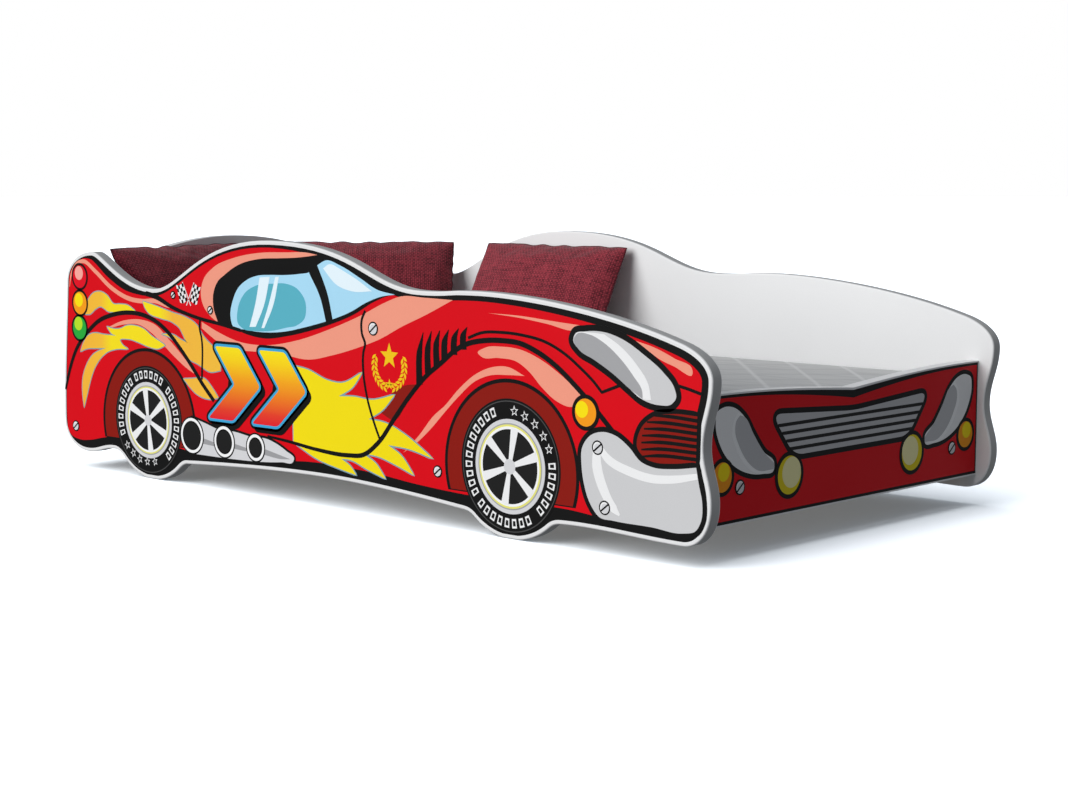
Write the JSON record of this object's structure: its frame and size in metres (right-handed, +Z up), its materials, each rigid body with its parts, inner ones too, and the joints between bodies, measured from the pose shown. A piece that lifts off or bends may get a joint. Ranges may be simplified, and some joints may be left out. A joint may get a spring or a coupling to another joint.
{
  "type": "toddler bed",
  "caption": "Toddler bed shaped like a racing car: printed cut-out side panels, domed headboard, low front board, slatted base, mattress and loose cushions.",
  "frame": {"origin": "on the floor, at the middle of the bed's length and width", "axes": "+X to the car's nose at the foot end, +Y to the car's left side, +Z up"},
  "size_m": [1.512, 0.75, 0.427],
  "materials": {
    "printed_board": "satin",
    "white_board": "satin",
    "pine": "matte",
    "zinc_fittings": "satin",
    "webbing": "matte",
    "mattress_cover": "matte",
    "cushion_cover": "matte"
  },
  "bodies": {
    "bed_frame": {"side_panel_right": "printed_board", "side_panel_left": "printed_board", "headboard": "white_board", "front_board": "printed_board", "cam_head_right_lower": "zinc_fittings", "cam_bolt_head_right_lower": "zinc_fittings", "cam_head_right_upper": "zinc_fittings", "cam_bolt_head_right_upper": "zinc_fittings", "dowel_head_right": "pine", "cam_head_left_lower": "zinc_fittings", "cam_bolt_head_left_lower": "zinc_fittings", "cam_head_left_upper": "zinc_fittings", "cam_bolt_head_left_upper": "zinc_fittings", "dowel_head_left": "pine", "cam_front_right_lower": "zinc_fittings", "cam_bolt_front_right_lower": "zinc_fittings", "cam_front_right_upper": "zinc_fittings", "cam_bolt_front_right_upper": "zinc_fittings", "dowel_front_right": "pine", "cam_front_left_lower": "zinc_fittings", "cam_bolt_front_left_lower": "zinc_fittings", "cam_front_left_upper": "zinc_fittings", "cam_bolt_front_left_upper": "zinc_fittings", "dowel_front_left": "pine", "slat_rail_right": "pine", "slat_tape_right": "webbing", "rail_screw_right_1": "zinc_fittings", "rail_screw_right_2": "zinc_fittings", "rail_screw_right_3": "zinc_fittings", "rail_screw_right_4": "zinc_fittings", "slat_rail_left": "pine", "slat_tape_left": "webbing", "rail_screw_left_1": "zinc_fittings", "rail_screw_left_2": "zinc_fittings", "rail_screw_left_3": "zinc_fittings", "rail_screw_left_4": "zinc_fittings", "slat_01": "pine", "slat_02": "pine", "slat_03": "pine", "slat_04": "pine", "slat_05": "pine", "slat_06": "pine", "slat_07": "pine", "slat_08": "pine", "slat_09": "pine", "slat_10": "pine", "slat_11": "pine", "slat_12": "pine"},
    "mattress": {"mattress": "mattress_cover"},
    "cushion_near": {"cushion_near": "cushion_cover"},
    "cushion_corner": {"cushion_corner": "cushion_cover"},
    "cushion_far": {"cushion_far": "cushion_cover"}
  },
  "joints": [
    {"name": "mattress_lift", "type": "slide", "parent": "bed_frame", "child": "mattress", "axis": [0, 0, 1], "range_m": [0, 0.25]},
    {"name": "cushion_near_lift", "type": "slide", "parent": "mattress", "child": "cushion_near", "axis": [0, 0, 1], "range_m": [0, 0.25]},
    {"name": "cushion_corner_lift", "type": "slide", "parent": "mattress", "child": "cushion_corner", "axis": [0, 0, 1], "range_m": [0, 0.25]},
    {"name": "cushion_far_lift", "type": "slide", "parent": "mattress", "child": "cushion_far", "axis": [0, 0, 1], "range_m": [0, 0.25]}
  ]
}
